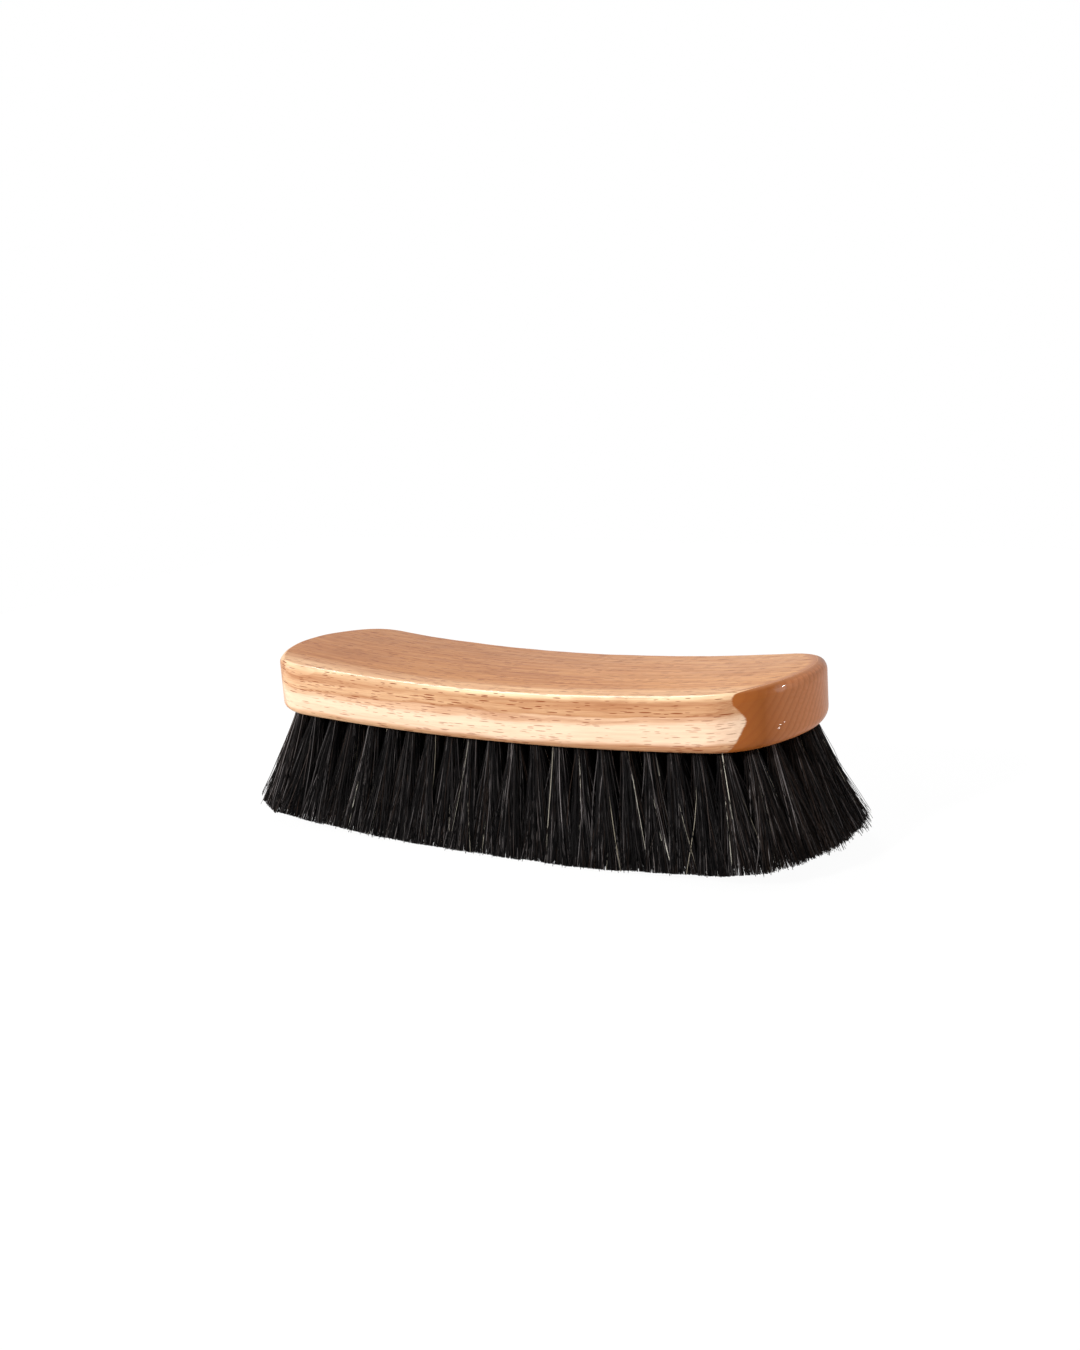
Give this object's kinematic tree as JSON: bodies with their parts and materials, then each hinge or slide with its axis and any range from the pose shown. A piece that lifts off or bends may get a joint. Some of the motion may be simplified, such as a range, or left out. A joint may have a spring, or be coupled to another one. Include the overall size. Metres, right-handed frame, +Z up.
{
  "type": "horsehair brush",
  "caption": "Saddle-shaped beech block with bowed ends, its sole set with black horsehair tufts that fan out to a curved trim.",
  "frame": {"origin": "under the middle of the block, at the level of the lowest hair tips, which the brush stands on", "axes": "+X along the block, +Y across it towards its back side in the picture's view, +Z up from the hair tips to the block's back"},
  "size_m": [0.1856, 0.061, 0.0503],
  "materials": {
    "beech": "clear satin lacquer over pale beech with short dark flecks along the grain",
    "horsehair": "natural black hair with a soft sheen and a few pale hairs"
  },
  "bodies": {
    "root": {"beech_block": "beech", "rim_tufts_1": "horsehair", "rim_tufts_2": "horsehair", "rim_tufts_3": "horsehair", "rim_tufts_4": "horsehair", "rim_tufts_5": "horsehair", "rim_tufts_6": "horsehair", "rim_tufts_7": "horsehair", "rim_tufts_8": "horsehair", "rim_tufts_9": "horsehair", "row_1_tufts_1": "horsehair", "row_1_tufts_2": "horsehair", "row_1_tufts_3": "horsehair", "row_2_tufts_1": "horsehair", "row_2_tufts_2": "horsehair", "row_2_tufts_3": "horsehair", "row_3_tufts_1": "horsehair", "row_3_tufts_2": "horsehair", "row_3_tufts_3": "horsehair", "row_4_tufts_1": "horsehair", "row_4_tufts_2": "horsehair", "row_4_tufts_3": "horsehair", "row_5_tufts_1": "horsehair", "row_5_tufts_2": "horsehair", "row_5_tufts_3": "horsehair"}
  },
  "joints": []
}
